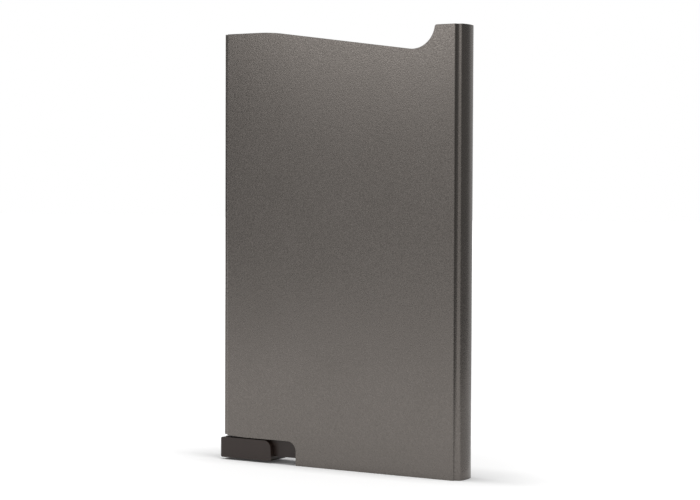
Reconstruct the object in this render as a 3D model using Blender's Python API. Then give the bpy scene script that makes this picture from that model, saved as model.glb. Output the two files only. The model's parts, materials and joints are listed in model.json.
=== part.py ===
"""Pocket card holder: an aluminium tube with a lever at its foot that fans the cards out.

Metres, Z up. X runs across the wide face, and the front face looks along -Y. The origin is the
middle of the footprint, on the surface that the holder stands on.
"""

import math

import bmesh
import bpy

MM = 0.001

# Card that the holder is made for, an ID-1 bank card
CARD_WIDTH = 54.0 * MM
CARD_HEIGHT = 85.6 * MM
CARD_SIDE_CLEARANCE = 0.3 * MM

# Case, an extruded tube with a step along each long edge
WALL = 0.85 * MM
CAVITY_DEPTH = 5.3 * MM
SIDE_BAND_WIDTH = 1.6 * MM
STEP_DEPTH = 0.8 * MM
SIDE_CROWN = 0.3 * MM
FACE_EDGE_RADIUS = 0.25 * MM
BAND_EDGE_RADIUS = 0.3 * MM
INNER_EDGE_RADIUS = 0.1 * MM
RIM_MARGIN = 1.4 * MM

# Wave in the top rim, with the thumb scoop at its low end; the slope is in degrees
SCOOP_RADIUS = 5.45 * MM
SCOOP_DEPTH = 5.0 * MM
SCOOP_FROM_SIDE = 12.1 * MM
SCOOP_LIP_RADIUS = 0.5 * MM
WAVE_SLOPE = 7.87
WAVE_BEND_RADIUS = 47.0 * MM

# Notch at the foot, which holds the thumb piece and gives it room to swing. Its edge lifts a little
# towards the open side.
NOTCH_HEIGHT = 5.4 * MM
NOTCH_CORNER_RADIUS = 2.2 * MM
NOTCH_LIFT = 0.35 * MM
NOTCH_LIFT_LENGTH = 6.0 * MM
NOTCH_LIFT_RADIUS = 60.0 * MM
NOTCH_COVER = 0.3 * MM
SWING_GAP = 6.6 * MM

# Thumb piece of the ejector lever, with a low rib on top that hides the gap below the case
THUMB_LENGTH = 13.85 * MM
THUMB_END_DRAFT = 0.25 * MM
THUMB_TOP_GAP = 0.25 * MM
THUMB_GROUND_GAP = 0.5 * MM
THUMB_SHOULDER_RADIUS = 1.8 * MM
THUMB_CORNER_RADIUS = 0.4 * MM
THUMB_EDGE_BREAK = 0.2 * MM
RIB_HEIGHT = 0.15 * MM
RIB_SETBACK = 0.7 * MM
RIB_SIDE_GAP = 0.15 * MM

# Pivot of the ejector lever
PIVOT_SETBACK = 2.75 * MM
PIVOT_ABOVE_NOTCH = 2.6 * MM
PIN_RADIUS = 1.0 * MM
PIN_END_CHAMFER = 0.15 * MM
PIN_FIT = 0.04 * MM
LEVER_BORE_FIT = 0.08 * MM

# Fanning arm: its layers end one after another, so each card is lifted to its own height
FAN_LAYERS = 5
ARM_END_SETBACK = 9.05 * MM
ARM_STAGGER = 4.0 * MM
ARM_TIP_DEPTH = 3.6 * MM
ARM_TIP_RADIUS = 1.4 * MM
ARM_TOE_RADIUS = 0.6 * MM
HUB_RADIUS = 2.7 * MM
HUB_COVER = 0.3 * MM
WEB_ROOT = 1.6 * MM
WEB_HEEL = 1.8 * MM
WEB_HEEL_RADIUS = 3.0 * MM
WEB_NECK_DROP = 1.6 * MM
WEB_NECK_RADIUS = 1.0 * MM
WEB_SEAT_DEPTH = 0.6 * MM

# Base frame, moulded round the lever
FRAME_FIT = 0.1 * MM
FRAME_LIFT = 0.3 * MM
CHEEK = 0.4 * MM
LEVER_SIDE_GAP = 0.1 * MM
FLOOR = 0.9 * MM
FLOOR_GAP = 0.3 * MM
POCKET_TIP_GAP = 2.8 * MM
POCKET_HEEL_GAP = 0.6 * MM
POCKET_CORNER_RADIUS = 1.0 * MM
CORE_WALL = 0.8 * MM

# Card guides, and the soft strips bonded into them
GUIDE_RAIL = 1.25 * MM
GUIDE_SEAT_GAP = 0.2 * MM
GUIDE_RIM_GAP = 1.5 * MM
LEAD_IN_HEIGHT = 2.4 * MM
LEAD_IN_DEPTH = 0.9 * MM
STRIP_LENGTH = 58.0 * MM
STRIP_WIDTH = 3.4 * MM
STRIP_THICKNESS = 0.65 * MM
STRIP_PROUD = 0.2 * MM
STRIP_TOP_GAP = 8.0 * MM
STRIP_EDGE_BREAK = 0.15 * MM
BOND_GAP = 0.05 * MM

# How far a cutter runs past what it cuts
OVERRUN = 2.0 * MM

# Faces on a round stretch, and across a broken edge
ARC_STEPS = 6
FINE_STEPS = 3
BREAK_STEPS = 2
ROUND_SIDES = 32

# How square to an axis a face has to be to count as an end face
END_FACE_SHARE = 0.99

# Edges that turn less than this, in degrees, are shaded smooth
SMOOTH_BELOW = 30

# Places that follow from the sizes above
RAIL_FACE = CARD_WIDTH / 2 + CARD_SIDE_CLEARANCE
FRAME_HALF = RAIL_FACE + GUIDE_RAIL
PLATE_HALF = FRAME_HALF + FRAME_FIT + WALL
SIDE_HALF = PLATE_HALF + SIDE_BAND_WIDTH
FACE_HALF = CAVITY_DEPTH / 2 + WALL
BAND_HALF = FACE_HALF - STEP_DEPTH
PIVOT_X = -SIDE_HALF + THUMB_LENGTH + PIVOT_SETBACK
PIVOT_Z = NOTCH_HEIGHT + PIVOT_ABOVE_NOTCH
BASE_HEIGHT = PIVOT_Z + HUB_RADIUS + HUB_COVER
CASE_HEIGHT = BASE_HEIGHT + CARD_HEIGHT + RIM_MARGIN
NOTCH_END = -SIDE_HALF + THUMB_LENGTH + SWING_GAP
FRAME_HALF_DEPTH = CAVITY_DEPTH / 2 - FRAME_FIT
POCKET_HALF_DEPTH = FRAME_HALF_DEPTH - CHEEK
LEVER_HALF_DEPTH = POCKET_HALF_DEPTH - LEVER_SIDE_GAP
FLOOR_TOP = FRAME_LIFT + FLOOR
WEB_BOTTOM = FLOOR_TOP + FLOOR_GAP
ARM_REACH = FRAME_HALF - ARM_END_SETBACK - PIVOT_X
POCKET_LEFT = PIVOT_X - PIVOT_SETBACK - WEB_ROOT - POCKET_HEEL_GAP
POCKET_RIGHT = PIVOT_X + ARM_REACH + POCKET_TIP_GAP
GUIDE_TOP = CASE_HEIGHT - GUIDE_RIM_GAP
STRIP_FACE = RAIL_FACE - STRIP_PROUD


def clear_scene():
    for item in list(bpy.data.objects):
        bpy.data.objects.remove(item, do_unlink=True)


def make_material(name, colour, roughness, metallic):
    material = bpy.data.materials.new(name)
    material.use_nodes = True
    shader = material.node_tree.nodes["Principled BSDF"]
    shader.inputs["Base Color"].default_value = (*colour, 1)
    shader.inputs["Roughness"].default_value = roughness
    shader.inputs["Metallic"].default_value = metallic
    return material


def arc(centre, radius, start, end, steps):
    """Points on a circle between two angles in degrees, both ends included."""
    points = []
    for step in range(steps + 1):
        angle = math.radians(start + (end - start) * step / steps)
        points.append((centre[0] + radius * math.cos(angle), centre[1] + radius * math.sin(angle)))
    return points


def unit(start, end):
    length = math.dist(start, end)
    return ((end[0] - start[0]) / length, (end[1] - start[1]) / length)


def rounded_corner(before, corner, after, radius, steps):
    """The arc that rounds one corner of an outline, tangent to both of its sides."""
    to_before = unit(corner, before)
    to_after = unit(corner, after)
    half = math.acos(to_before[0] * to_after[0] + to_before[1] * to_after[1]) / 2
    middle = unit((0, 0), (to_before[0] + to_after[0], to_before[1] + to_after[1]))
    reach = radius / math.sin(half)
    centre = (corner[0] + middle[0] * reach, corner[1] + middle[1] * reach)
    first = [corner[axis] + to_before[axis] * radius / math.tan(half) for axis in (0, 1)]
    last = [corner[axis] + to_after[axis] * radius / math.tan(half) for axis in (0, 1)]
    start = math.degrees(math.atan2(first[1] - centre[1], first[0] - centre[0]))
    end = math.degrees(math.atan2(last[1] - centre[1], last[0] - centre[0]))
    turn = (end - start + 180) % 360 - 180
    return arc(centre, radius, start, start + turn, steps)


def rounded_outline(corners, steps=ARC_STEPS):
    """An outline from corners given as (first, second, radius), where radius 0 stays sharp."""
    outline = []
    for index, (first, second, radius) in enumerate(corners):
        before = corners[index - 1][:2]
        after = corners[(index + 1) % len(corners)][:2]
        if radius:
            outline += rounded_corner(before, (first, second), after, radius, steps)
        else:
            outline.append((first, second))
    return outline


def prism(outline, low, high, axis):
    """A closed solid: an outline in XY run along Z, in XZ along Y, or in YZ along X."""
    place = {
        "Z": lambda point, run: (point[0], point[1], run),
        "Y": lambda point, run: (point[0], run, point[1]),
        "X": lambda point, run: (run, point[0], point[1]),
    }[axis]
    shape = bmesh.new()
    base = shape.faces.new([shape.verts.new(place(point, low)) for point in outline])
    run = bmesh.ops.extrude_face_region(shape, geom=[base])
    top = [item for item in run["geom"] if isinstance(item, bmesh.types.BMVert)]
    bmesh.ops.translate(shape, verts=top, vec=place((0, 0), high - low))
    bmesh.ops.recalc_face_normals(shape, faces=shape.faces)
    return shape


def break_rims(shape, axis, width):
    """Bevels the edges round both ends of a prism."""
    ends = [face for face in shape.faces if abs(face.normal["XYZ".index(axis)]) > END_FACE_SHARE]
    rims = {edge for face in ends for edge in face.edges}
    bmesh.ops.bevel(shape, geom=list(rims), offset=width, segments=BREAK_STEPS, affect="EDGES")


def turned_pin(length, radius, chamfer, axis_points=ROUND_SIDES):
    """A round bar along Y, with a chamfer at each end where one is given."""
    half = length / 2
    stations = [(-half, radius - chamfer), (-half + chamfer, radius)]
    stations += [(half - chamfer, radius), (half, radius - chamfer)]
    if not chamfer:
        stations = [(-half, radius), (half, radius)]
    shape = bmesh.new()
    rings = []
    for along, size in stations:
        circle = arc((0, 0), size, 0, 360, axis_points)[:-1]
        rings.append([shape.verts.new((point[0], along, point[1])) for point in circle])
    for first, second in zip(rings, rings[1:]):
        for side in range(axis_points):
            other = (side + 1) % axis_points
            shape.faces.new((first[side], first[other], second[other], second[side]))
    shape.faces.new(rings[0])
    shape.faces.new(rings[-1])
    bmesh.ops.recalc_face_normals(shape, faces=shape.faces)
    return shape


def add_object(name, shape, location=(0, 0, 0)):
    mesh = bpy.data.meshes.new(name)
    shape.to_mesh(mesh)
    shape.free()
    mesh.shade_smooth()
    mesh.set_sharp_from_angle(angle=math.radians(SMOOTH_BELOW))
    made = bpy.data.objects.new(name, mesh)
    made.location = location
    bpy.context.scene.collection.objects.link(made)
    return made


def add_piece(name, shape, material, location=(0, 0, 0)):
    piece = add_object(name, shape, location)
    piece.data.materials.append(material)
    return piece


def combine(piece, name, shape, operation="DIFFERENCE", location=(0, 0, 0)):
    """Cuts a tool shape out of a piece, or joins it on, and hides the tool."""
    tool = add_object(name, shape, location)
    tool.display_type = "WIRE"
    tool.hide_render = True
    modifier = piece.modifiers.new(name, "BOOLEAN")
    modifier.operation = operation
    modifier.solver = "EXACT"
    modifier.object = tool


def side_profile(inset, edge_radius, band_radius):
    """Right-hand side of the tube's section, front to back: face edge, step, crowned side."""
    plate = PLATE_HALF - inset
    face = FACE_HALF - inset
    band = BAND_HALF - inset
    side = SIDE_HALF - inset
    shoulder = side - SIDE_CROWN
    start = band - band_radius
    crown_radius = (start ** 2 + SIDE_CROWN ** 2) / (2 * SIDE_CROWN)
    swing = math.degrees(math.asin(start / crown_radius))
    front = arc((plate - edge_radius, edge_radius - face), edge_radius, -90, 0, FINE_STEPS)
    front.append((plate, -band))
    front += arc((shoulder - band_radius, -start), band_radius, -90, 0, FINE_STEPS)[:-1]
    front += arc((side - crown_radius, 0), crown_radius, -swing, 0, ARC_STEPS)
    return front + [(x, -y) for x, y in reversed(front[:-1])]


def tube_section(inset, edge_radius, band_radius):
    right = side_profile(inset, edge_radius, band_radius)
    return right + [(-x, -y) for x, y in right]


def wave_line():
    """The top rim from left to right: flat, bend, straight slope, thumb scoop and lip."""
    scoop = (SIDE_HALF - SCOOP_FROM_SIDE, CASE_HEIGHT - SCOOP_DEPTH + SCOOP_RADIUS)
    slope = math.radians(WAVE_SLOPE)
    low = arc(scoop, SCOOP_RADIUS, -90 - WAVE_SLOPE, -90, 1)[0]
    bend = low[0] - (CASE_HEIGHT - low[1]) / math.tan(slope)
    bend_centre = (bend - WAVE_BEND_RADIUS * math.tan(slope / 2), CASE_HEIGHT - WAVE_BEND_RADIUS)
    lip_z = CASE_HEIGHT - SCOOP_LIP_RADIUS
    rise = lip_z - scoop[1]
    lip_x = scoop[0] + math.sqrt((SCOOP_RADIUS + SCOOP_LIP_RADIUS) ** 2 - rise ** 2)
    meet = math.degrees(math.atan2(rise, lip_x - scoop[0]))
    line = arc(bend_centre, WAVE_BEND_RADIUS, 90, 90 - WAVE_SLOPE, ARC_STEPS)
    line += arc(scoop, SCOOP_RADIUS, -90 - WAVE_SLOPE, meet, 3 * ARC_STEPS)
    line += arc((lip_x, lip_z), SCOOP_LIP_RADIUS, 180 + meet, 90, ARC_STEPS)
    return line


def notch_outline(cover):
    """The notch in the foot, from past the left side to its round end, with its lifted top edge."""
    left = -SIDE_HALF - OVERRUN
    right = NOTCH_END + cover
    top = NOTCH_HEIGHT + cover
    lift = NOTCH_LIFT * (NOTCH_LIFT_LENGTH + OVERRUN) / NOTCH_LIFT_LENGTH
    return rounded_outline([
        (left, -OVERRUN, 0),
        (right, -OVERRUN, 0),
        (right, top, NOTCH_CORNER_RADIUS),
        (NOTCH_LIFT_LENGTH - SIDE_HALF, top, NOTCH_LIFT_RADIUS),
        (left, top + lift, 0),
    ])


def build_case(aluminium):
    stock = prism(tube_section(0, FACE_EDGE_RADIUS, BAND_EDGE_RADIUS), 0, CASE_HEIGHT + OVERRUN, "Z")
    case = add_piece("case_sleeve", stock, aluminium)
    cavity = tube_section(WALL, INNER_EDGE_RADIUS, INNER_EDGE_RADIUS)
    combine(case, "cavity_cutter", prism(cavity, -OVERRUN, CASE_HEIGHT + 2 * OVERRUN, "Z"))
    reach = SIDE_HALF + OVERRUN
    rim = [(-reach, CASE_HEIGHT)] + wave_line() + [(reach, CASE_HEIGHT)]
    rim += [(reach, CASE_HEIGHT + 2 * OVERRUN), (-reach, CASE_HEIGHT + 2 * OVERRUN)]
    depth = FACE_HALF + OVERRUN
    combine(case, "rim_cutter", prism(rim, -depth, depth, "Y"))
    combine(case, "notch_cutter", prism(notch_outline(0), -depth, depth, "Y"))


def core_outline(left, right):
    return [
        (left, -FRAME_HALF_DEPTH + CORE_WALL),
        (right, -FRAME_HALF_DEPTH + CORE_WALL),
        (right, FRAME_HALF_DEPTH - CORE_WALL),
        (left, FRAME_HALF_DEPTH - CORE_WALL),
    ]


def build_base_frame(plastic):
    section = tube_section(WALL + FRAME_FIT, INNER_EDGE_RADIUS, INNER_EDGE_RADIUS)
    frame = add_piece("base_frame", prism(section, FRAME_LIFT, BASE_HEIGHT, "Z"), plastic)
    depth = FRAME_HALF_DEPTH + OVERRUN
    combine(frame, "notch_relief_cutter", prism(notch_outline(NOTCH_COVER), -depth, depth, "Y"))
    pocket = rounded_outline([
        (POCKET_LEFT, BASE_HEIGHT + OVERRUN, 0),
        (POCKET_LEFT, FLOOR_TOP, POCKET_CORNER_RADIUS),
        (POCKET_RIGHT, FLOOR_TOP, POCKET_CORNER_RADIUS),
        (POCKET_RIGHT, BASE_HEIGHT + OVERRUN, 0),
    ])
    lever_room = prism(pocket, -POCKET_HALF_DEPTH, POCKET_HALF_DEPTH, "Y")
    combine(frame, "lever_room_cutter", lever_room)
    bore = turned_pin(2 * depth, PIN_RADIUS + PIN_FIT, 0)
    combine(frame, "pin_hole_cutter", bore, location=(PIVOT_X, 0, PIVOT_Z))
    left_rib = (POCKET_LEFT - FRAME_HALF) / 2
    cores = [
        (-FRAME_HALF + CORE_WALL, left_rib - CORE_WALL / 2),
        (left_rib + CORE_WALL / 2, POCKET_LEFT - CORE_WALL),
        (POCKET_RIGHT + CORE_WALL, FRAME_HALF - CORE_WALL),
    ]
    for number, (left, right) in enumerate(cores, 1):
        core = prism(core_outline(left, right), -OVERRUN, BASE_HEIGHT - CORE_WALL, "Z")
        combine(frame, f"core_cutter_{number}", core)


def lever_outline():
    """Web, hub and longest arm of the lever, about the pivot."""
    bottom = WEB_BOTTOM - PIVOT_Z
    root = -PIVOT_SETBACK - WEB_ROOT
    thumb_top = NOTCH_HEIGHT - THUMB_TOP_GAP - PIVOT_Z
    heel = SWING_GAP - PIVOT_SETBACK + WEB_HEEL
    return rounded_outline([
        (root, bottom, 0),
        (heel, bottom, WEB_HEEL_RADIUS),
        (ARM_REACH, HUB_RADIUS - ARM_TIP_DEPTH, ARM_TOE_RADIUS),
        (ARM_REACH, HUB_RADIUS, ARM_TIP_RADIUS),
        (-HUB_RADIUS, HUB_RADIUS, HUB_RADIUS),
        (-HUB_RADIUS, -WEB_NECK_DROP, WEB_NECK_RADIUS),
        (root, thumb_top - WEB_SEAT_DEPTH, 0),
    ])


def thumb_outline():
    """The thumb piece about the pivot: square, with a drafted end and a round shoulder by the web."""
    left = -PIVOT_SETBACK - THUMB_LENGTH
    bottom = THUMB_GROUND_GAP - PIVOT_Z
    top = NOTCH_HEIGHT - THUMB_TOP_GAP - PIVOT_Z
    return rounded_outline([
        (left, bottom, THUMB_CORNER_RADIUS),
        (-PIVOT_SETBACK, bottom, THUMB_CORNER_RADIUS),
        (-PIVOT_SETBACK - THUMB_END_DRAFT, top, THUMB_SHOULDER_RADIUS),
        (left, top, THUMB_CORNER_RADIUS),
    ])


def rib_outline():
    """The low rib on the thumb piece about the pivot, rooted in the piece and in the web."""
    left = -PIVOT_SETBACK - THUMB_LENGTH + RIB_SETBACK
    right = -PIVOT_SETBACK - WEB_ROOT
    top = NOTCH_HEIGHT - THUMB_TOP_GAP - PIVOT_Z
    return [
        (left, top - WEB_SEAT_DEPTH),
        (right, top - WEB_SEAT_DEPTH),
        (right, top + RIB_HEIGHT),
        (left, top + RIB_HEIGHT),
    ]


def layer_end_outline(reach):
    """What is cut away past the end of one layer of the arm, round its rounded tip."""
    right = ARM_REACH + OVERRUN
    low = WEB_BOTTOM - PIVOT_Z - OVERRUN
    high = HUB_RADIUS + OVERRUN
    tip = arc((reach - ARM_TIP_RADIUS, HUB_RADIUS - ARM_TIP_RADIUS), ARM_TIP_RADIUS, 0, 90, ARC_STEPS)
    return [(reach, low)] + tip + [(reach - ARM_TIP_RADIUS, high), (right, high), (right, low)]


def build_ejector_lever(plastic):
    body = prism(lever_outline(), -LEVER_HALF_DEPTH, LEVER_HALF_DEPTH, "Y")
    pivot = (PIVOT_X, 0, PIVOT_Z)
    lever = add_piece("ejector_lever", body, plastic, pivot)
    layer = 2 * LEVER_HALF_DEPTH / FAN_LAYERS
    for number in range(1, FAN_LAYERS):
        reach = ARM_REACH - ARM_STAGGER * (FAN_LAYERS - number)
        back = -LEVER_HALF_DEPTH + number * layer
        past_tip = prism(layer_end_outline(reach), -LEVER_HALF_DEPTH - OVERRUN, back, "Y")
        combine(lever, f"layer_cutter_{number}", past_tip, location=pivot)
    thumb = prism(thumb_outline(), -FACE_HALF, FACE_HALF, "Y")
    break_rims(thumb, "Y", THUMB_EDGE_BREAK)
    combine(lever, "thumb_piece", thumb, "UNION", pivot)
    rib_half = CAVITY_DEPTH / 2 - RIB_SIDE_GAP
    combine(lever, "thumb_rib", prism(rib_outline(), -rib_half, rib_half, "Y"), "UNION", pivot)
    bore = turned_pin(2 * (FACE_HALF + OVERRUN), PIN_RADIUS + LEVER_BORE_FIT, 0)
    combine(lever, "lever_bore_cutter", bore, location=pivot)


def build_pivot_pin(steel):
    pin = turned_pin(2 * FRAME_HALF_DEPTH, PIN_RADIUS, PIN_END_CHAMFER)
    add_piece("pivot_pin", pin, steel, (PIVOT_X, 0, PIVOT_Z))


def mirrored(outline, side):
    """The outline as it is for the right-hand side, or its mirror image for the left."""
    if side > 0:
        return outline
    return [(-x, y) for x, y in reversed(outline)]


def build_card_guide(name, side, plastic):
    keyed = side_profile(WALL + FRAME_FIT, INNER_EDGE_RADIUS, INNER_EDGE_RADIUS)
    section = [(RAIL_FACE, -FRAME_HALF_DEPTH)] + keyed + [(RAIL_FACE, FRAME_HALF_DEPTH)]
    bottom = BASE_HEIGHT + GUIDE_SEAT_GAP
    guide = add_piece(name, prism(mirrored(section, side), bottom, GUIDE_TOP, "Z"), plastic)
    lead_in = [
        (RAIL_FACE - LEAD_IN_DEPTH, GUIDE_TOP - 2 * LEAD_IN_HEIGHT),
        (RAIL_FACE + 2 * LEAD_IN_DEPTH, GUIDE_TOP + LEAD_IN_HEIGHT),
        (RAIL_FACE - LEAD_IN_DEPTH, GUIDE_TOP + LEAD_IN_HEIGHT),
    ]
    depth = FRAME_HALF_DEPTH + OVERRUN
    combine(guide, name + "_lead_in_cutter", prism(mirrored(lead_in, side), -depth, depth, "Y"))
    floor = STRIP_FACE + STRIP_THICKNESS + BOND_GAP
    seat = strip_shape(side, STRIP_FACE - OVERRUN, floor, BOND_GAP)
    combine(guide, name + "_strip_seat_cutter", seat)


def strip_shape(side, inner, outer, margin):
    """A strip with round ends that stands upright on one side, between two distances from X = 0."""
    half = STRIP_WIDTH / 2 + margin
    top = GUIDE_TOP - STRIP_TOP_GAP + margin
    bottom = GUIDE_TOP - STRIP_TOP_GAP - STRIP_LENGTH - margin
    outline = arc((0, top - half), half, 0, 180, 2 * ARC_STEPS)
    outline += arc((0, bottom + half), half, 180, 360, 2 * ARC_STEPS)
    low, high = sorted((side * inner, side * outer))
    return prism(outline, low, high, "X")


def build_grip_strip(name, side, foam):
    strip = strip_shape(side, STRIP_FACE, STRIP_FACE + STRIP_THICKNESS, 0)
    break_rims(strip, "X", STRIP_EDGE_BREAK)
    add_piece(name, strip, foam)


clear_scene()
build_case(make_material("gunmetal_anodised_aluminium", (0.19, 0.18, 0.17), 0.42, 1))
moulded = make_material("dark_moulded_plastic", (0.045, 0.04, 0.038), 0.5, 0)
build_base_frame(moulded)
build_ejector_lever(moulded)
build_pivot_pin(make_material("ground_steel", (0.55, 0.55, 0.56), 0.3, 1))
foam = make_material("black_grip_foam", (0.02, 0.02, 0.02), 0.85, 0)
for side, word in ((-1, "left"), (1, "right")):
    build_card_guide(word + "_card_guide", side, moulded)
    build_grip_strip(word + "_grip_strip", side, foam)
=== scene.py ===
"""Looks of the aluminium card holder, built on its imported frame. Metres, Z up, front along -Y."""

import json
import math

import bmesh
import bpy
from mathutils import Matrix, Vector


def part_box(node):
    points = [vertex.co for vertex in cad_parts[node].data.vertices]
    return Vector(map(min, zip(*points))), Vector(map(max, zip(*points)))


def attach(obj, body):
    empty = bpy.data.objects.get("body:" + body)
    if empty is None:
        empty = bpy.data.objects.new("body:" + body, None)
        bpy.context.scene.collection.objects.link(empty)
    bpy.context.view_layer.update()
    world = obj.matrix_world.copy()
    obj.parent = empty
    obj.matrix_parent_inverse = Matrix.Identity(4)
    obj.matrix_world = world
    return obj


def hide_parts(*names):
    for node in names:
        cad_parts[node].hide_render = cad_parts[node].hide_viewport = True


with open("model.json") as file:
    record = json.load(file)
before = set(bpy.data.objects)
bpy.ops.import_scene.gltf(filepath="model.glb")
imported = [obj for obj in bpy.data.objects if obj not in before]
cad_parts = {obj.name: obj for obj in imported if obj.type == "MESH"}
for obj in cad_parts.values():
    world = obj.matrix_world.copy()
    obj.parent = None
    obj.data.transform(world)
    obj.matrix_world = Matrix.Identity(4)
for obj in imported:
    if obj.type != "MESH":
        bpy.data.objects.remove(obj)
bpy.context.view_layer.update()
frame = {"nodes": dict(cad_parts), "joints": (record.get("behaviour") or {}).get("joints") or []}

# Case sleeve: one length of extruded aluminium tube, stepped in along both edges and open at both
# ends. The wave, the thumb scoop and the notch are milled and their edges broken, and then the
# whole tube is bead-blasted and anodised gunmetal.
MM = 0.001
CASE_WALL = 0.85 * MM
STEP_WIDTH = 1.6 * MM
STEP_DEPTH = 0.8 * MM
SIDE_CROWN = 0.3 * MM
FACE_EDGE_RADIUS = 0.27 * MM
STEP_ROOT_RADIUS = 0.68 * MM
BAND_EDGE_RADIUS = 0.5 * MM
INNER_EDGE_RADIUS = 0.1 * MM
CASE_EDGE_BREAK = 0.1 * MM
SCOOP_RADIUS = 5.45 * MM
SCOOP_DEPTH = 5.0 * MM
SCOOP_FROM_SIDE = 12.1 * MM
SCOOP_LIP_RADIUS = 0.5 * MM
WAVE_SLOPE = 7.87
WAVE_BEND_RADIUS = 47.0 * MM
NOTCH_HEIGHT = 5.4 * MM
NOTCH_LENGTH = 20.45 * MM
NOTCH_CORNER_RADIUS = 2.2 * MM
NOTCH_LIFT = 0.35 * MM
NOTCH_LIFT_LENGTH = 6.0 * MM
NOTCH_LIFT_RADIUS = 60.0 * MM
CUT_OVERRUN = 2.0 * MM
FLAT_ANGLE = 0.2
SHARP_ANGLE = 25
case_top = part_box("case_sleeve")[1]
face_half = case_top.y
plate_half = case_top.x - STEP_WIDTH
cavity_half = face_half - CASE_WALL
through = face_half + CUT_OVERRUN


def arc(centre, radius, start, end, steps):
    """Points on a circle between two angles in degrees, both ends included."""
    turns = [math.radians(start + (end - start) * step / steps) for step in range(steps + 1)]
    return [(centre[0] + radius * math.cos(a), centre[1] + radius * math.sin(a)) for a in turns]


def heading(start, end):
    """The direction from one point to another, with a length of 1."""
    length = math.hypot(end[0] - start[0], end[1] - start[1])
    return ((end[0] - start[0]) / length, (end[1] - start[1]) / length)


def rounded(corners, steps=10):
    """An outline from corners given as (first, second, radius), where radius 0 stays sharp."""
    outline = []
    for index, (first, second, radius) in enumerate(corners):
        if not radius:
            outline.append((first, second))
            continue
        back = heading((first, second), corners[index - 1])
        ahead = heading((first, second), corners[(index + 1) % len(corners)])
        half = math.acos(back[0] * ahead[0] + back[1] * ahead[1]) / 2
        middle = heading((0, 0), (back[0] + ahead[0], back[1] + ahead[1]))
        reach = radius / math.sin(half)
        centre = (first + middle[0] * reach, second + middle[1] * reach)
        facing = math.degrees(math.atan2(-middle[1], -middle[0]))
        sweep = math.copysign(90 - math.degrees(half), back[0] * ahead[1] - back[1] * ahead[0])
        outline += arc(centre, radius, facing + sweep, facing - sweep, steps)
    return outline


def prism(outline, low, high, axis):
    """A closed solid: an outline in XY run along Z, in XZ along Y, or in YZ along X."""
    order = {"Z": (0, 1, 2), "Y": (0, 2, 1), "X": (1, 2, 0)}[axis]
    shape = bmesh.new()
    ends = []
    for run in (low, high):
        corners = []
        for first, second in outline:
            place = [0, 0, 0]
            place[order[0]] = first
            place[order[1]] = second
            place[order[2]] = run
            corners.append(shape.verts.new(place))
        ends.append(corners)
    count = len(outline)
    for index in range(count):
        after = (index + 1) % count
        shape.faces.new((ends[0][index], ends[0][after], ends[1][after], ends[1][index]))
    shape.faces.new(ends[0])
    shape.faces.new(ends[1])
    bmesh.ops.recalc_face_normals(shape, faces=shape.faces)
    return shape


def new_object(name, shape):
    """Puts a finished shape into the scene under its name."""
    mesh = bpy.data.meshes.new(name)
    shape.to_mesh(mesh)
    shape.free()
    made = bpy.data.objects.new(name, mesh)
    bpy.context.scene.collection.objects.link(made)
    return made


def freeze(piece):
    """Applies a piece's modifiers."""
    bpy.context.view_layer.update()
    evaluated = piece.evaluated_get(bpy.context.evaluated_depsgraph_get())
    mesh = bpy.data.meshes.new_from_object(evaluated)
    piece.modifiers.clear()
    piece.data = mesh
    mesh.name = piece.name


def machine(piece, steps):
    """Cuts or joins each tool shape in turn, and leaves one plain mesh with no tools behind."""
    tools = []
    for number, (operation, shape) in enumerate(steps):
        tool = new_object(f"{piece.name}_tool_{number}", shape)
        modifier = piece.modifiers.new(tool.name, "BOOLEAN")
        modifier.operation = operation
        modifier.solver = "EXACT"
        modifier.object = tool
        tools.append(tool)
    freeze(piece)
    for tool in tools:
        bpy.data.objects.remove(tool, do_unlink=True)


def break_edges(piece, width, segments=3):
    """Rounds every sharp edge by the same small width, and shades the flat faces flat."""
    shape = bmesh.new()
    shape.from_mesh(piece.data)
    flat = math.radians(FLAT_ANGLE)
    bmesh.ops.dissolve_limit(shape, angle_limit=flat, verts=shape.verts, edges=shape.edges)
    limit = math.radians(SHARP_ANGLE)
    sharp = [edge for edge in shape.edges if edge.calc_face_angle(0) > limit]
    bmesh.ops.bevel(
        shape, geom=sharp, offset=width, segments=segments, affect="EDGES", clamp_overlap=True,
        profile=0.5,
    )
    shape.to_mesh(piece.data)
    shape.free()
    piece.data.shade_smooth()
    normals = piece.modifiers.new("flat_faces_first", "WEIGHTED_NORMAL")
    normals.weight = 100
    freeze(piece)


def side_outline(inset, edge_radius, root_radius, band_radius):
    """The tube's right-hand side from front to back: face edge, step and gently crowned side."""
    plate = plate_half - inset
    face = face_half - inset
    band = face_half - STEP_DEPTH - inset
    side = case_top.x - inset
    crown_start = band - band_radius
    crown = (crown_start ** 2 + SIDE_CROWN ** 2) / (2 * SIDE_CROWN)
    swing = math.degrees(math.asin(crown_start / crown))
    turn = math.acos(max(0, 1 - STEP_DEPTH / (edge_radius + root_radius)))
    edge = (plate - edge_radius * math.sin(turn), edge_radius - face)
    root = (plate + root_radius * math.sin(turn), -band - root_radius)
    turn = math.degrees(turn)
    quarter = arc(edge, edge_radius, -90, turn - 90, 8)
    quarter += arc(root, root_radius, turn + 90, 90, 8)[0 if turn == 90 else 1:]
    shoulder = side - SIDE_CROWN - band_radius
    quarter += arc((shoulder, -crown_start), band_radius, -90, -swing, 6)[:-1]
    quarter += arc((side - crown, 0), crown, -swing, 0, 10)
    return quarter + [(x, -y) for x, y in reversed(quarter[:-1])]


def tube_outline(inset, edge_radius, root_radius, band_radius):
    """The whole tube seen from above: the right-hand side and its half turn on the left."""
    right = side_outline(inset, edge_radius, root_radius, band_radius)
    return right + [(-x, -y) for x, y in right]


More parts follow.
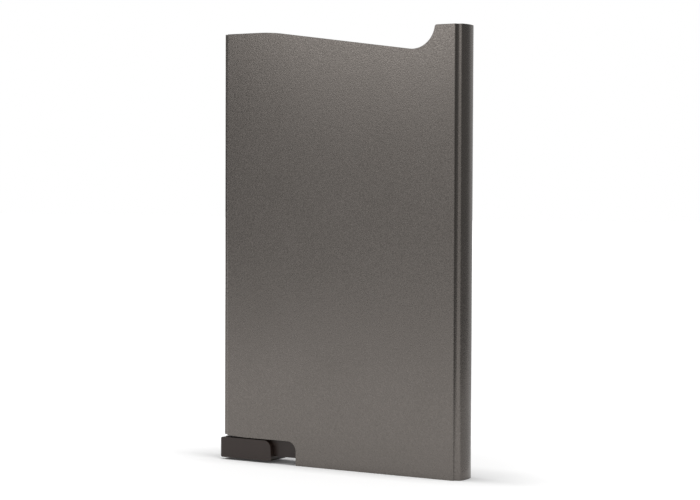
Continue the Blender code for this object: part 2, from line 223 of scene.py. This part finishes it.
def wave_line():
    """The rim from left to right: flat, bend, straight slope, thumb scoop and its small lip."""
    height = case_top.z
    scoop = (case_top.x - SCOOP_FROM_SIDE, height - SCOOP_DEPTH + SCOOP_RADIUS)
    slope = math.radians(WAVE_SLOPE)
    low_x = scoop[0] - SCOOP_RADIUS * math.sin(slope)
    low_z = scoop[1] - SCOOP_RADIUS * math.cos(slope)
    bend = low_x - (height - low_z) / math.tan(slope)
    bend_centre = (bend - WAVE_BEND_RADIUS * math.tan(slope / 2), height - WAVE_BEND_RADIUS)
    lip_z = height - SCOOP_LIP_RADIUS
    rise = lip_z - scoop[1]
    lip_x = scoop[0] + math.sqrt((SCOOP_RADIUS + SCOOP_LIP_RADIUS) ** 2 - rise ** 2)
    meet = math.degrees(math.atan2(rise, lip_x - scoop[0]))
    line = arc(bend_centre, WAVE_BEND_RADIUS, 90, 90 - WAVE_SLOPE, 8)
    line += arc(scoop, SCOOP_RADIUS, -90 - WAVE_SLOPE, meet, 32)
    line += arc((lip_x, lip_z), SCOOP_LIP_RADIUS, 180 + meet, 90, 10)
    return line


def rim_waste():
    """What the rim cutter takes away above the wave."""
    reach = case_top.x + CUT_OVERRUN
    above = case_top.z + 2 * CUT_OVERRUN
    level = [(-reach, case_top.z)] + wave_line() + [(reach, case_top.z)]
    return level + [(reach, above), (-reach, above)]


def notch_waste(cover):
    """What the notch cutter takes away. Its top edge lifts a little towards the open side."""
    left = -case_top.x - CUT_OVERRUN
    right = NOTCH_LENGTH - case_top.x + cover
    top = NOTCH_HEIGHT + cover
    lift = NOTCH_LIFT * (NOTCH_LIFT_LENGTH + CUT_OVERRUN) / NOTCH_LIFT_LENGTH
    return rounded([
        (left, -CUT_OVERRUN, 0),
        (right, -CUT_OVERRUN, 0),
        (right, top, NOTCH_CORNER_RADIUS),
        (NOTCH_LIFT_LENGTH - case_top.x, top, NOTCH_LIFT_RADIUS),
        (left, top + lift, 0),
    ])


def node_setter(material):
    """A short way to add a shader node, set its sockets and link other nodes into it."""
    tree = material.node_tree

    def add(kind, sockets=(), links=(), **settings):
        node = tree.nodes.new(kind)
        for key, value in settings.items():
            setattr(node, key, value)
        for key, value in dict(sockets).items():
            node.inputs[key].default_value = value
        for key, source in dict(links).items():
            tree.links.new(source, node.inputs[key])
        return node

    return add


def anodised_aluminium():
    """Satin gunmetal: pits from the glass beads scatter light, over faint clouds of dye."""
    material = bpy.data.materials.new("bead_blasted_gunmetal")
    material.use_nodes = True
    shader = material.node_tree.nodes["Principled BSDF"]
    add = node_setter(material)
    place = add("ShaderNodeTexCoord").outputs["Object"]
    pits = add(
        "ShaderNodeTexNoise", {"Scale": 3800, "Detail": 2, "Roughness": 0.6}, {"Vector": place}
    )
    clouds = add("ShaderNodeTexNoise", {"Scale": 60, "Detail": 2}, {"Vector": place})
    colour = add("ShaderNodeValToRGB", {}, {"Fac": clouds.outputs["Fac"]})
    colour.color_ramp.elements[0].position = 0.3
    colour.color_ramp.elements[0].color = (0.1545, 0.1400, 0.1285, 1)
    colour.color_ramp.elements[1].position = 0.7
    colour.color_ramp.elements[1].color = (0.1625, 0.1470, 0.1355, 1)
    satin = add(
        "ShaderNodeMapRange", {"From Min": 0.3, "From Max": 0.7, "To Min": 0.14, "To Max": 0.42},
        {"Value": pits.outputs["Fac"]},
    )
    bump = add(
        "ShaderNodeBump", {"Strength": 0.5, "Distance": 0.03 * MM}, {"Height": pits.outputs["Fac"]}
    )
    material.node_tree.links.new(colour.outputs["Color"], shader.inputs["Base Color"])
    material.node_tree.links.new(satin.outputs["Result"], shader.inputs["Roughness"])
    material.node_tree.links.new(bump.outputs["Normal"], shader.inputs["Normal"])
    shader.inputs["Metallic"].default_value = 1
    return material


tube = tube_outline(0, FACE_EDGE_RADIUS, STEP_ROOT_RADIUS, BAND_EDGE_RADIUS)
hollow = tube_outline(CASE_WALL, INNER_EDGE_RADIUS, INNER_EDGE_RADIUS, INNER_EDGE_RADIUS)
case = new_object("aluminium_case", prism(tube, 0, case_top.z + CUT_OVERRUN, "Z"))
machine(case, [
    ("DIFFERENCE", prism(hollow, -CUT_OVERRUN, case_top.z + 2 * CUT_OVERRUN, "Z")),
    ("DIFFERENCE", prism(rim_waste(), -through, through, "Y")),
    ("DIFFERENCE", prism(notch_waste(0), -through, through, "Y")),
])
break_edges(case, CASE_EDGE_BREAK)
case.data.materials.append(anodised_aluminium())
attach(case, "case")
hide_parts("case_sleeve")

# Base frame: a matt moulding that slides into the foot of the tube and is keyed by its steps. Two
# thin cheeks carry the pin, the pocket between them is the lever's room, and cores under its ends
# save plastic.
FRAME_FIT = 0.1 * MM
FRAME_LIFT = 0.3 * MM
FRAME_EDGE_BREAK = 0.08 * MM
NOTCH_COVER = 0.3 * MM
CHEEK = 0.4 * MM
CORE_WALL = 0.8 * MM
POCKET_FLOOR = 1.2 * MM
POCKET_HEEL_GAP = 0.6 * MM
POCKET_TIP_GAP = 2.8 * MM
POCKET_CORNER_RADIUS = 1.0 * MM
WEB_ROOT = 1.6 * MM
PIVOT_SETBACK = 2.75 * MM
ARM_END_SETBACK = 9.05 * MM
PIN_HOLE = 1.04 * MM
frame_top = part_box("base_frame")[1]
frame_half = plate_half - CASE_WALL - FRAME_FIT
frame_half_depth = cavity_half - FRAME_FIT
pivot_x, _, pivot_z = frame["joints"][0]["pos_m"]
arm_end = frame_half - ARM_END_SETBACK
pocket_left = pivot_x - PIVOT_SETBACK - WEB_ROOT - POCKET_HEEL_GAP
pocket_right = arm_end + POCKET_TIP_GAP


def moulded_plastic(name, colour, roughness, grain_size, relief):
    """Dark plastic with the fine even texture that a spark-eroded mould leaves."""
    material = bpy.data.materials.new(name)
    material.use_nodes = True
    shader = material.node_tree.nodes["Principled BSDF"]
    add = node_setter(material)
    place = add("ShaderNodeTexCoord").outputs["Object"]
    texture = add(
        "ShaderNodeTexNoise", {"Scale": 1 / grain_size, "Detail": 2, "Roughness": 0.6},
        {"Vector": place},
    )
    drift = add("ShaderNodeTexNoise", {"Scale": 120, "Detail": 1}, {"Vector": place})
    shade = add("ShaderNodeValToRGB", {}, {"Fac": drift.outputs["Fac"]})
    shade.color_ramp.elements[0].position = 0.35
    shade.color_ramp.elements[0].color = (*[0.92 * part for part in colour], 1)
    shade.color_ramp.elements[1].position = 0.65
    shade.color_ramp.elements[1].color = (*[1.08 * part for part in colour], 1)
    bump = add(
        "ShaderNodeBump", {"Strength": 0.4, "Distance": relief}, {"Height": texture.outputs["Fac"]}
    )
    material.node_tree.links.new(shade.outputs["Color"], shader.inputs["Base Color"])
    material.node_tree.links.new(bump.outputs["Normal"], shader.inputs["Normal"])
    shader.inputs["Roughness"].default_value = roughness
    return material


def circle(centre, radius, steps=48):
    """A whole circle's points, each one once."""
    return arc(centre, radius, 0, 360, steps)[:-1]


inside = CASE_WALL + FRAME_FIT
insert = tube_outline(inside, INNER_EDGE_RADIUS, INNER_EDGE_RADIUS, INNER_EDGE_RADIUS)
carrier = new_object("lever_carrier", prism(insert, FRAME_LIFT, frame_top.z, "Z"))
pocket = rounded([
    (pocket_left, frame_top.z + CUT_OVERRUN, 0),
    (pocket_left, POCKET_FLOOR, POCKET_CORNER_RADIUS),
    (pocket_right, POCKET_FLOOR, POCKET_CORNER_RADIUS),
    (pocket_right, frame_top.z + CUT_OVERRUN, 0),
])
pocket_half = frame_half_depth - CHEEK
left_rib = (pocket_left - frame_half) / 2
cores = [
    (CORE_WALL - frame_half, left_rib - CORE_WALL / 2),
    (left_rib + CORE_WALL / 2, pocket_left - CORE_WALL),
    (pocket_right + CORE_WALL, frame_half - CORE_WALL),
]
core_half = frame_half_depth - CORE_WALL
core_cuts = []
for left, right in cores:
    core = [(left, -core_half), (right, -core_half), (right, core_half), (left, core_half)]
    core_cuts.append(("DIFFERENCE", prism(core, -CUT_OVERRUN, frame_top.z - CORE_WALL, "Z")))
machine(carrier, [
    ("DIFFERENCE", prism(notch_waste(NOTCH_COVER), -through, through, "Y")),
    ("DIFFERENCE", prism(pocket, -pocket_half, pocket_half, "Y")),
    ("DIFFERENCE", prism(circle((pivot_x, pivot_z), PIN_HOLE), -through, through, "Y")),
] + core_cuts)
break_edges(carrier, FRAME_EDGE_BREAK, segments=2)
carrier.data.materials.append(
    moulded_plastic("matt_frame_plastic", (0.024, 0.021, 0.020), 0.55, 0.15 * MM, 0.02 * MM)
)
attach(carrier, "case")
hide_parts("base_frame")

# Pivot pin: ground steel dowel in the two cheeks, chamfered at both ends and kept in by the walls
# of the case. Grinding leaves fine rings round it.
pin_steel = bpy.data.materials.new("ground_pin_steel")
pin_steel.use_nodes = True
shader = pin_steel.node_tree.nodes["Principled BSDF"]
add = node_setter(pin_steel)
place = add("ShaderNodeTexCoord").outputs["Object"]
drawn_out = add("ShaderNodeMapping", {"Scale": (1, 60, 1)}, {"Vector": place})
rings = add(
    "ShaderNodeTexNoise", {"Scale": 600, "Detail": 2}, {"Vector": drawn_out.outputs["Vector"]}
)
tone = add("ShaderNodeValToRGB", {}, {"Fac": rings.outputs["Fac"]})
tone.color_ramp.elements[0].color = (0.46, 0.46, 0.47, 1)
tone.color_ramp.elements[1].color = (0.62, 0.62, 0.63, 1)
scratches = add(
    "ShaderNodeBump", {"Strength": 0.2, "Distance": 0.01 * MM}, {"Height": rings.outputs["Fac"]}
)
pin_steel.node_tree.links.new(tone.outputs["Color"], shader.inputs["Base Color"])
pin_steel.node_tree.links.new(scratches.outputs["Normal"], shader.inputs["Normal"])
shader.inputs["Metallic"].default_value = 1
shader.inputs["Roughness"].default_value = 0.28
pin = frame["nodes"]["pivot_pin"]
pin.data.materials.clear()
pin.data.materials.append(pin_steel)

# Ejector lever: one moulding in dark satin plastic. The full-thickness thumb piece fills the notch
# and has a low rib on top, a thinner web leads between the walls to the hub on the pin, and the
# arm ends in five layers that lift the cards one after another.
THUMB_LENGTH = 13.85 * MM
THUMB_END_DRAFT = 0.25 * MM
THUMB_TOP_GAP = 0.25 * MM
THUMB_GROUND_GAP = 0.5 * MM
THUMB_SHOULDER_RADIUS = 1.8 * MM
THUMB_CORNER_RADIUS = 0.4 * MM
RIB_HEIGHT = 0.15 * MM
RIB_SETBACK = 0.7 * MM
RIB_SIDE_GAP = 0.15 * MM
MOULD_RADIUS = 0.15 * MM
ARM_STAGGER = 4.0 * MM
ARM_LAYERS = 5
ARM_TIP_DEPTH = 3.6 * MM
ARM_TIP_RADIUS = 1.4 * MM
ARM_TOE_RADIUS = 0.6 * MM
HUB_RADIUS = 2.7 * MM
WEB_HEEL = 1.8 * MM
WEB_HEEL_RADIUS = 3.0 * MM
WEB_NECK_DROP = 1.6 * MM
WEB_NECK_RADIUS = 1.0 * MM
WEB_SEAT_DEPTH = 0.6 * MM
WEB_FLOOR_GAP = 0.3 * MM
WEB_SIDE_GAP = 0.1 * MM
LEVER_BORE = 1.08 * MM
thumb_right = pivot_x - PIVOT_SETBACK
thumb_left = thumb_right - THUMB_LENGTH
thumb_top = NOTCH_HEIGHT - THUMB_TOP_GAP
arm_top = pivot_z + HUB_RADIUS
web_half = pocket_half - WEB_SIDE_GAP
web_bottom = POCKET_FLOOR + WEB_FLOOR_GAP
web = rounded([
    (thumb_right - WEB_ROOT, web_bottom, 0),
    (NOTCH_LENGTH - case_top.x + WEB_HEEL, web_bottom, WEB_HEEL_RADIUS),
    (arm_end, arm_top - ARM_TIP_DEPTH, ARM_TOE_RADIUS),
    (arm_end, arm_top, ARM_TIP_RADIUS),
    (pivot_x - HUB_RADIUS, arm_top, HUB_RADIUS),
    (pivot_x - HUB_RADIUS, pivot_z - WEB_NECK_DROP, WEB_NECK_RADIUS),
    (thumb_right - WEB_ROOT, thumb_top - WEB_SEAT_DEPTH, 0),
])
thumb = rounded([
    (thumb_left, THUMB_GROUND_GAP, THUMB_CORNER_RADIUS),
    (thumb_right, THUMB_GROUND_GAP, THUMB_CORNER_RADIUS),
    (thumb_right - THUMB_END_DRAFT, thumb_top, THUMB_SHOULDER_RADIUS),
    (thumb_left, thumb_top, THUMB_CORNER_RADIUS),
])
rib = [
    (thumb_left + RIB_SETBACK, thumb_top - WEB_SEAT_DEPTH),
    (thumb_right - WEB_ROOT, thumb_top - WEB_SEAT_DEPTH),
    (thumb_right - WEB_ROOT, thumb_top + RIB_HEIGHT),
    (thumb_left + RIB_SETBACK, thumb_top + RIB_HEIGHT),
]
rib_half = cavity_half - RIB_SIDE_GAP
layer_cuts = []
for layer in range(1, ARM_LAYERS):
    end = arm_end - ARM_STAGGER * (ARM_LAYERS - layer)
    tip = arc((end - ARM_TIP_RADIUS, arm_top - ARM_TIP_RADIUS), ARM_TIP_RADIUS, 0, 90, 10)
    past = arm_end + CUT_OVERRUN
    above = arm_top + CUT_OVERRUN
    waste = [(end, 0)] + tip + [(end - ARM_TIP_RADIUS, above), (past, above), (past, 0)]
    back = -web_half + 2 * web_half * layer / ARM_LAYERS
    layer_cuts.append(("DIFFERENCE", prism(waste, -through, back, "Y")))
bore = circle((pivot_x, pivot_z), LEVER_BORE)
lever = new_object("thumb_lever", prism(web, -web_half, web_half, "Y"))
machine(lever, layer_cuts + [
    ("UNION", prism(thumb, -face_half, face_half, "Y")),
    ("DIFFERENCE", prism(bore, -through, through, "Y")),
])
break_edges(lever, MOULD_RADIUS)
machine(lever, [("UNION", prism(rib, -rib_half, rib_half, "Y"))])
lever.data.materials.append(
    moulded_plastic("satin_lever_plastic", (0.023, 0.0125, 0.009), 0.42, 0.12 * MM, 0.01 * MM)
)
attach(lever, "lever")
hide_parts("ejector_lever")

# Card guides: two moulded rails keyed into the side channels of the tube, above the frame. They
# take up the room beside the cards, and lean away at the top so that a card finds its way in.
GUIDE_RAIL = 1.25 * MM
GUIDE_SEAT_GAP = 0.2 * MM
GUIDE_EDGE_BREAK = 0.08 * MM
LEAD_IN_HEIGHT = 2.4 * MM
LEAD_IN_DEPTH = 0.9 * MM
STRIP_LENGTH = 58.0 * MM
STRIP_WIDTH = 3.4 * MM
STRIP_THICKNESS = 0.65 * MM
STRIP_PROUD = 0.2 * MM
STRIP_TOP_GAP = 8.0 * MM
BOND_GAP = 0.05 * MM
guide_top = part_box("right_card_guide")[1].z
rail_face = frame_half - GUIDE_RAIL
strip_face = rail_face - STRIP_PROUD
strip_top = guide_top - STRIP_TOP_GAP
strip_bottom = strip_top - STRIP_LENGTH


def strip_outline(inset, steps=16):
    """The upright strip's outline in YZ: straight sides and round ends, drawn in by an inset."""
    half = STRIP_WIDTH / 2 - inset
    top = arc((0, strip_top - STRIP_WIDTH / 2), half, 0, 180, steps)
    return top + arc((0, strip_bottom + STRIP_WIDTH / 2), half, 180, 360, steps)


def mirrored(outline, side):
    """An outline drawn for the right-hand side, turned over where the left is wanted."""
    return outline if side > 0 else [(-x, y) for x, y in reversed(outline)]


keyed = side_outline(inside, INNER_EDGE_RADIUS, INNER_EDGE_RADIUS, INNER_EDGE_RADIUS)
rail = [(rail_face, -frame_half_depth)] + keyed + [(rail_face, frame_half_depth)]
lead_in = [
    (rail_face - LEAD_IN_DEPTH, guide_top - 2 * LEAD_IN_HEIGHT),
    (rail_face + 2 * LEAD_IN_DEPTH, guide_top + LEAD_IN_HEIGHT),
    (rail_face - LEAD_IN_DEPTH, guide_top + LEAD_IN_HEIGHT),
]
guide_plastic = moulded_plastic(
    "matt_guide_plastic", (0.028, 0.025, 0.024), 0.5, 0.15 * MM, 0.02 * MM
)
rail_bottom = frame_top.z + GUIDE_SEAT_GAP
seat_back = strip_face + STRIP_THICKNESS + BOND_GAP
for side, word in ((-1, "left"), (1, "right")):
    guide = new_object(f"{word}_rail", prism(mirrored(rail, side), rail_bottom, guide_top, "Z"))
    seat = sorted((side * (strip_face - CUT_OVERRUN), side * seat_back))
    machine(guide, [
        ("DIFFERENCE", prism(mirrored(lead_in, side), -through, through, "Y")),
        ("DIFFERENCE", prism(strip_outline(-BOND_GAP), *seat, "X")),
    ])
    break_edges(guide, GUIDE_EDGE_BREAK, segments=2)
    guide.data.materials.append(guide_plastic)
    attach(guide, "case")
    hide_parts(f"{word}_card_guide")

# Grip strips: die-cut strips of soft black foam, bonded into the rails. Each is crowned, with its
# edge pressed down by the cutter, and it grips the cards so that they don't fall out.
STRIP_EDGE_DROP = 0.3 * MM
STRIP_CROWN = 0.1 * MM
STRIP_RINGS = 8
STRIP_DRAW_IN_SHARE = 0.8
STRIP_SHARP_ANGLE = 50
foam = bpy.data.materials.new("black_grip_foam")
foam.use_nodes = True
shader = foam.node_tree.nodes["Principled BSDF"]
add = node_setter(foam)
place = add("ShaderNodeTexCoord").outputs["Object"]
cells = add("ShaderNodeTexVoronoi", {"Scale": 6500}, {"Vector": place})
cell_tone = add("ShaderNodeValToRGB", {}, {"Fac": cells.outputs["Distance"]})
cell_tone.color_ramp.elements[0].color = (0.008, 0.008, 0.008, 1)
cell_tone.color_ramp.elements[1].color = (0.030, 0.029, 0.028, 1)
skin = add(
    "ShaderNodeBump", {"Strength": 0.6, "Distance": 0.04 * MM}, {"Height": cells.outputs["Distance"]}
)
foam.node_tree.links.new(cell_tone.outputs["Color"], shader.inputs["Base Color"])
foam.node_tree.links.new(skin.outputs["Normal"], shader.inputs["Normal"])
shader.inputs["Roughness"].default_value = 0.9
shader.inputs["Sheen Weight"].default_value = 0.15


def foam_strip(name, side):
    """Rings of the strip's outline, each drawn in further and standing further out of the seat."""
    shape = bmesh.new()
    half = STRIP_WIDTH / 2
    draw_in = STRIP_DRAW_IN_SHARE * half
    edge = STRIP_THICKNESS - STRIP_EDGE_DROP
    steps = [(0, 0)]
    for number in range(STRIP_RINGS + 1):
        share = math.sin(math.radians(90 * number / STRIP_RINGS))
        height = edge + (STRIP_EDGE_DROP - STRIP_CROWN) * share + STRIP_CROWN * share ** 4
        steps.append((draw_in * (1 - math.sqrt(1 - share ** 2)), height))
    rings = []
    for inset, height in steps:
        x = strip_face + STRIP_THICKNESS - height
        rings.append([shape.verts.new((side * x, y, z)) for y, z in strip_outline(inset)])
    for inner, outer in zip(rings, rings[1:]):
        for index in range(len(inner)):
            after = (index + 1) % len(inner)
            shape.faces.new((inner[index], inner[after], outer[after], outer[index]))
    shape.faces.new(rings[0])
    shape.faces.new(rings[-1])
    bmesh.ops.recalc_face_normals(shape, faces=shape.faces)
    made = new_object(name, shape)
    made.data.shade_smooth()
    made.data.set_sharp_from_angle(angle=math.radians(STRIP_SHARP_ANGLE))
    return made


for side, word in ((-1, "left"), (1, "right")):
    strip = foam_strip(f"{word}_foam_strip", side)
    strip.data.materials.append(foam)
    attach(strip, "case")
    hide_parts(f"{word}_grip_strip")

# Floor: a white table top. The camera and reflections see it glow white, more so far away. Near the
# holder the glow is weak, which paints a darker patch of shade round it, and there it also keeps the
# shadow that the lamps cast.
FLOOR_REACH = 3.0
FLOOR_DROP = 0.02 * MM
floor_mesh = bpy.data.meshes.new("floor")
corners = [
    (-FLOOR_REACH, -FLOOR_REACH, 0),
    (FLOOR_REACH, -FLOOR_REACH, 0),
    (FLOOR_REACH, FLOOR_REACH, 0),
    (-FLOOR_REACH, FLOOR_REACH, 0),
]
floor_mesh.from_pydata(corners, [], [(0, 1, 2, 3)])
floor = bpy.data.objects.new("floor", floor_mesh)
floor.location.z = -FLOOR_DROP
bpy.context.scene.collection.objects.link(floor)
floor_white = bpy.data.materials.new("white_table_top")
floor_white.use_nodes = True
floor_white.cycles.emission_sampling = "NONE"
shader = floor_white.node_tree.nodes["Principled BSDF"]
shader.inputs["Base Color"].default_value = (0.9, 0.9, 0.9, 1)
shader.inputs["Roughness"].default_value = 0.8
shader.inputs["Specular IOR Level"].default_value = 0
shader.inputs["Emission Color"].default_value = (1, 1, 1, 1)


def seen_directly(add):
    """1 for rays from the camera, reflections and refractions, 0 for the light on the object."""
    path = add("ShaderNodeLightPath").outputs
    seen = path["Is Camera Ray"]
    for other in ("Is Glossy Ray", "Is Transmission Ray"):
        seen = add("ShaderNodeMath", {}, {0: seen, 1: path[other]}, operation="MAXIMUM").outputs[0]
    return seen


# Each stop is a distance from the middle of the holder, and how strongly the floor glows there; the
# weak glow near the holder is painted shade.
GLOW_BY_DISTANCE = [(0.03, 0.03), (0.06, 0.15), (0.3, 0.28), (0.9, 1.0)]
add = node_setter(floor_white)
spot = add("ShaderNodeTexCoord").outputs["Object"]
distance = add("ShaderNodeVectorMath", {}, {0: spot}, operation="LENGTH").outputs["Value"]
glow = add("ShaderNodeValToRGB", {}, {"Fac": distance})
glow.color_ramp.interpolation = "EASE"
for _ in GLOW_BY_DISTANCE[2:]:
    glow.color_ramp.elements.new(0.5)
for stop, (reach, strength) in zip(glow.color_ramp.elements, GLOW_BY_DISTANCE):
    stop.position = reach
    stop.color = (strength, strength, strength, 1)
shown = add("ShaderNodeMath", {}, {0: glow.outputs[0], 1: seen_directly(add)}, operation="MULTIPLY")
floor_white.node_tree.links.new(shown.outputs[0], shader.inputs["Emission Strength"])
floor.data.materials.append(floor_white)

# Studio: soft white light all round, a soft box overhead and one at each side, and a small one in
# front for the metal's sheen. Four standing cards darken what the metal mirrors. The one that lies
# behind the holder's right foot is painted shadow: a dark sheet that stands in, for the metal, for
# the shadow on the floor there. Only reflections see them.
AMBIENT = 0.3
# Name, place, width and depth, level, and whether reflections show the box.
SOFT_BOXES = [
    ("overhead_box", (0, -0.04, 1.24), (0.9, 0.25), 17.4, False),
    ("left_box", (-0.616, -0.224, 0.504), (0.5, 0.5), 0.3, False),
    ("right_box", (0.616, -0.224, 0.504), (0.5, 0.5), 0.6, False),
    ("sheen_box", (-0.168, -0.3035, 0.19), (0.11, 0.13), 2.3, True),
]
CARD_LIFT = 1.0 * MM


def standing(start, end, height):
    """The corners of a card that stands on the floor from start to end."""
    return [(*start, 0), (*end, 0), (*end, height), (*start, height)]


def lying(left, front, right, back):
    """The corners of a card that lies just above the floor."""
    flat = [(left, front), (right, front), (right, back), (left, back)]
    return [(x, y, CARD_LIFT) for x, y in flat]


# Name, corners, and how light the card looks in the metal.
CARDS = [
    ("front_card", standing((-0.26, -0.3035), (0.12, -0.3035), 0.1), 0.6),
    ("left_card", standing((-0.515, -0.13), (-0.314, -0.429), 0.6), 0.15),
    ("right_card", standing((0.155, -0.34), (0.155, 0.36), 0.4), 0.28),
    ("back_card", standing((-0.01, 0.16), (0.1, 0.14), 0.3), 0.65),
    # painted shadow: this sheet lies where the floor is shaded by the right foot, and darkens the
    # metal's reflection of it
    ("painted_foot_shadow", lying(0.034, 0, 0.12, 0.12), 0.7),
]
AIM = (0, 0, 0.045)
for name, place, (width, depth), radiance, mirrored_too in SOFT_BOXES:
    lamp = bpy.data.lights.new(name, "AREA")
    lamp.shape = "RECTANGLE"
    lamp.size = width
    lamp.size_y = depth
    lamp.energy = radiance * math.pi * width * depth
    box = bpy.data.objects.new(name, lamp)
    box.location = place
    box.rotation_euler = (Vector(place) - Vector(AIM)).to_track_quat("Z", "Y").to_euler()
    box.visible_camera = False
    box.visible_glossy = mirrored_too
    bpy.context.scene.collection.objects.link(box)
for name, corners, strength in CARDS:
    paper = bpy.data.materials.new(name)
    paper.use_nodes = True
    paper.cycles.emission_sampling = "NONE"
    shader = paper.node_tree.nodes["Principled BSDF"]
    shader.inputs["Base Color"].default_value = (0, 0, 0, 1)
    shader.inputs["Specular IOR Level"].default_value = 0
    shader.inputs["Emission Color"].default_value = (1, 1, 1, 1)
    shader.inputs["Emission Strength"].default_value = strength
    sheet = bpy.data.meshes.new(name)
    sheet.from_pydata(corners, [], [(0, 1, 2, 3)])
    sheet.materials.append(paper)
    card = bpy.data.objects.new(name, sheet)
    card.visible_camera = False
    card.visible_diffuse = False
    card.visible_transmission = False
    card.visible_shadow = False
    bpy.context.scene.collection.objects.link(card)
world = bpy.data.worlds.new("studio")
world.use_nodes = True
world.cycles.sampling_method = "NONE"
bpy.context.scene.world = world
background = world.node_tree.nodes["Background"]
background.inputs["Color"].default_value = (1, 1, 1, 1)
add = node_setter(world)
level = add("ShaderNodeMapRange", {"To Min": AMBIENT, "To Max": 1.0}, {"Value": seen_directly(add)})
world.node_tree.links.new(level.outputs[0], background.inputs["Strength"])

# Camera: level with the upper half of the holder, a third of a right angle round to its right, and
# turned down a little. Its place and angles are those that fit the photograph's outline best.
SENSOR = 36.0
FOCAL_PIXELS = 1829.8
PHOTO_WIDTH = 700
NEAREST_SEEN = 10.0 * MM
CAMERA_PLACE = (210.557 * MM, -351.189 * MM, 62.53 * MM)
CAMERA_DOWN = 1.897
CAMERA_LEAN = -0.231
CAMERA_ROUND = 30.784
camera_data = bpy.data.cameras.new("camera")
camera_data.sensor_width = SENSOR
camera_data.lens = SENSOR * FOCAL_PIXELS / PHOTO_WIDTH
camera_data.clip_start = NEAREST_SEEN
camera = bpy.data.objects.new("camera", camera_data)
camera.location = CAMERA_PLACE
turns = (90 - CAMERA_DOWN, CAMERA_LEAN, CAMERA_ROUND)
camera.rotation_euler = [math.radians(turn) for turn in turns]
bpy.context.scene.collection.objects.link(camera)
bpy.context.scene.camera = camera
bpy.context.scene.view_settings.view_transform = "Standard"
